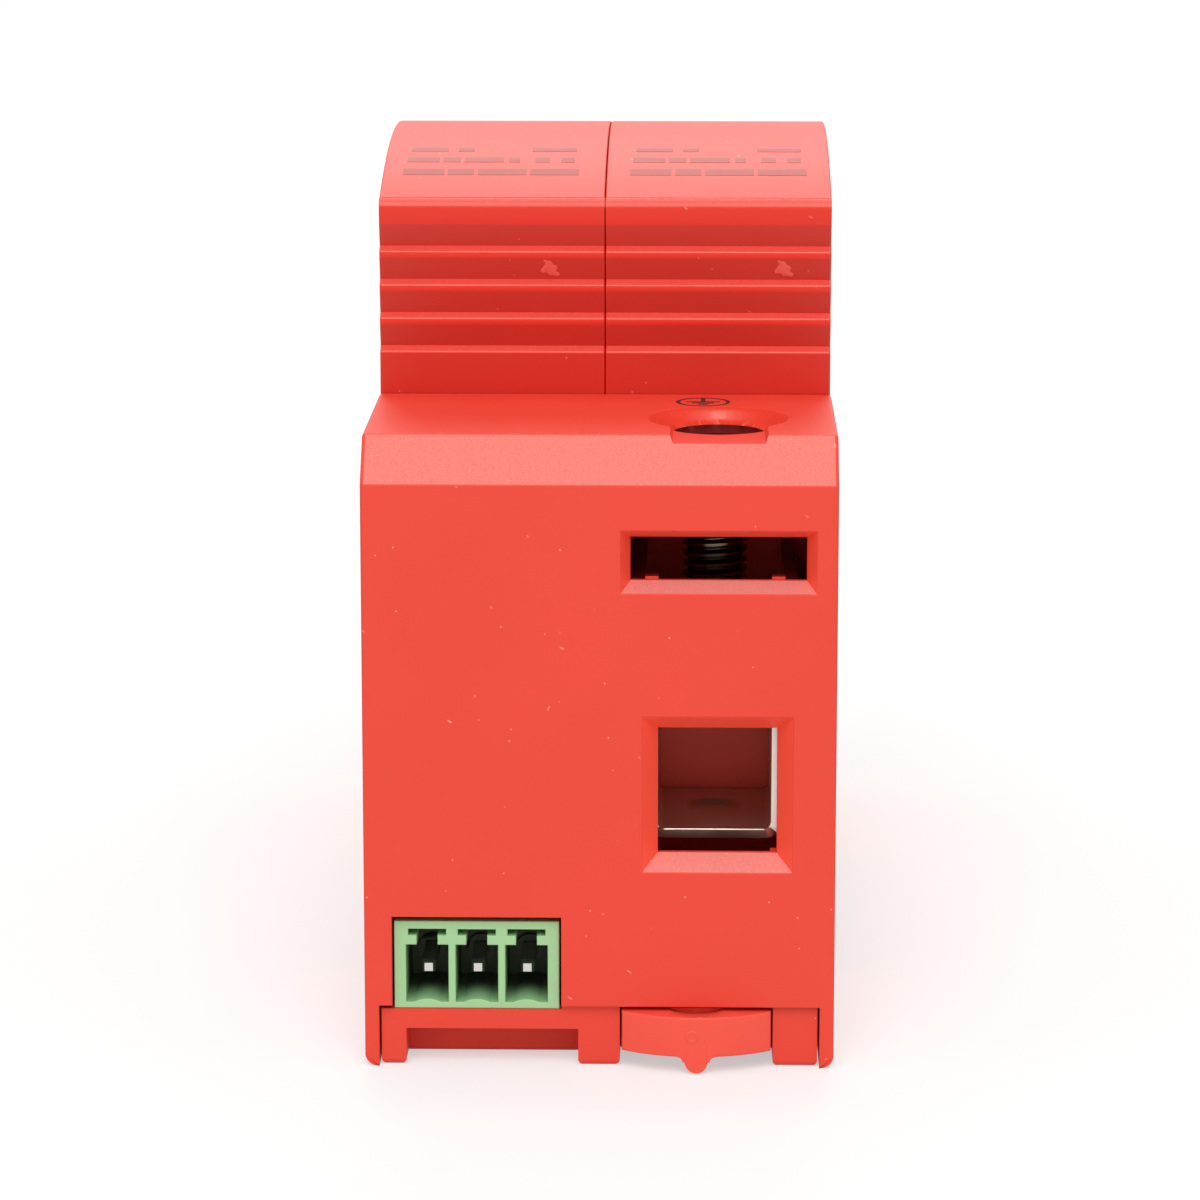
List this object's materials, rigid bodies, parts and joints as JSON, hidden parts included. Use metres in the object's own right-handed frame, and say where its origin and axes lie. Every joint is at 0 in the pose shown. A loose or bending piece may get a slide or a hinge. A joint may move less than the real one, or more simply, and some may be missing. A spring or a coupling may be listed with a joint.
{
  "type": "din rail surge arrester",
  "caption": "Modular surge arrester for a top-hat rail: plug-in varistor modules in a red base with screw cage terminals, a signal header and a sliding rail latch.",
  "frame": {"origin": "middle of the rail seat, on the rail's centre line", "axes": "+Z away from the rail, +Y along the device's 90 mm length towards the line terminals, +X across the modules"},
  "size_m": [0.036, 0.0918, 0.068],
  "materials": {
    "red_polyamide": "fine spark-eroded moulded surface",
    "plug_polyamide": "fine spark-eroded moulded surface",
    "latch_plastic": "smooth moulded surface",
    "green_plastic": "smooth moulded surface",
    "green_plastic_flag": "smooth moulded surface",
    "tinned_brass": "tin plated",
    "zinc_steel": "zinc plated",
    "spring_steel": "bright drawn wire",
    "copper": "bare rolled strip",
    "circuit_board": "solder resist",
    "black_plastic": "moulded",
    "white_plastic": "moulded",
    "varistor_coating": "dipped epoxy coat",
    "clear_window": "clear moulded polycarbonate"
  },
  "bodies": {
    "base": {"base_housing": "red_polyamide", "rail_base": "red_polyamide", "latch_spring": "spring_steel", "signal_header": "green_plastic", "header_pins": "tinned_brass", "signal_board": "circuit_board", "microswitch": "black_plastic", "earth_bar": "copper", "line_bar_left": "copper", "line_bar_right": "copper", "earth_socket_left": "tinned_brass", "earth_socket_right": "tinned_brass", "line_socket_left": "tinned_brass", "line_socket_right": "tinned_brass"},
    "latch": {"rail_latch": "latch_plastic"},
    "rocker": {"signal_rocker": "white_plastic"},
    "button": {"switch_button": "white_plastic"},
    "earth_screw": {"earth_screw": "zinc_steel"},
    "line_screw_left": {"line_screw_left": "zinc_steel"},
    "line_screw_right": {"line_screw_right": "zinc_steel"},
    "earth_cage": {"earth_cage": "zinc_steel"},
    "line_cage_left": {"line_cage_left": "zinc_steel"},
    "line_cage_right": {"line_cage_right": "zinc_steel"},
    "plug_left": {"plug_cap_left": "plug_polyamide", "plug_floor_left": "plug_polyamide", "varistor_left": "varistor_coating", "earth_blade_left": "tinned_brass", "line_blade_left": "tinned_brass", "solder_strap_left": "copper", "trip_spring_left": "spring_steel", "status_window_left": "clear_window"},
    "slider_left": {"trip_slider_left": "green_plastic_flag"},
    "plug_right": {"plug_cap_right": "plug_polyamide", "plug_floor_right": "plug_polyamide", "varistor_right": "varistor_coating", "earth_blade_right": "tinned_brass", "line_blade_right": "tinned_brass", "solder_strap_right": "copper", "trip_spring_right": "spring_steel", "status_window_right": "clear_window"},
    "slider_right": {"trip_slider_right": "green_plastic_flag"}
  },
  "joints": [
    {"name": "latch_slide", "type": "slide", "parent": "base", "child": "latch", "axis": [0, -1, 0], "range_m": [0, 0.004], "stiffness_N_per_m": 600, "springref_m": -0.003, "deforming": ["latch_spring"]},
    {"name": "rocker_tilt", "type": "hinge", "parent": "base", "child": "rocker", "pos_m": [0, -0.006, 0.0101], "axis": [-1, 0, 0], "range_deg": [0, 2.3]},
    {"name": "button_press", "type": "slide", "parent": "base", "child": "button", "axis": [0, 0, 1], "range_m": [0, 0.00095], "stiffness_N_per_m": 40, "springref_m": -0.003},
    {"name": "earth_screw_turn", "type": "hinge", "parent": "base", "child": "earth_screw", "pos_m": [0.00875, -0.034, 0.035], "axis": [0, 0, -1], "range_deg": [0, 3260]},
    {"name": "earth_cage_lift", "type": "slide", "parent": "base", "child": "earth_cage", "axis": [0, 0, 1], "range_m": [0, 0.0072]},
    {"name": "line_screw_left_turn", "type": "hinge", "parent": "base", "child": "line_screw_left", "pos_m": [-0.00875, 0.034, 0.035], "axis": [0, 0, -1], "range_deg": [0, 3260]},
    {"name": "line_cage_left_lift", "type": "slide", "parent": "base", "child": "line_cage_left", "axis": [0, 0, 1], "range_m": [0, 0.0072]},
    {"name": "line_screw_right_turn", "type": "hinge", "parent": "base", "child": "line_screw_right", "pos_m": [0.00875, 0.034, 0.035], "axis": [0, 0, -1], "range_deg": [0, 3260]},
    {"name": "line_cage_right_lift", "type": "slide", "parent": "base", "child": "line_cage_right", "axis": [0, 0, 1], "range_m": [0, 0.0072]},
    {"name": "plug_left_pull", "type": "slide", "parent": "base", "child": "plug_left", "axis": [0, 0, 1], "range_m": [0, 0.045]},
    {"name": "trip_left_drop", "type": "slide", "parent": "plug_left", "child": "slider_left", "axis": [0, 0, -1], "range_m": [0, 0.0035], "deforming": ["trip_spring_left"]},
    {"name": "plug_right_pull", "type": "slide", "parent": "base", "child": "plug_right", "axis": [0, 0, 1], "range_m": [0, 0.045]},
    {"name": "trip_right_drop", "type": "slide", "parent": "plug_right", "child": "slider_right", "axis": [0, 0, -1], "range_m": [0, 0.0035], "deforming": ["trip_spring_right"]}
  ],
  "couplings": [
    {"joint": "rocker_tilt", "follows": "button_press", "rad_per_m": 40.16},
    {"joint": "earth_screw_turn", "follows": "earth_cage_lift", "rad_per_m": 7854},
    {"joint": "line_screw_left_turn", "follows": "line_cage_left_lift", "rad_per_m": 7854},
    {"joint": "line_screw_right_turn", "follows": "line_cage_right_lift", "rad_per_m": 7854}
  ]
}
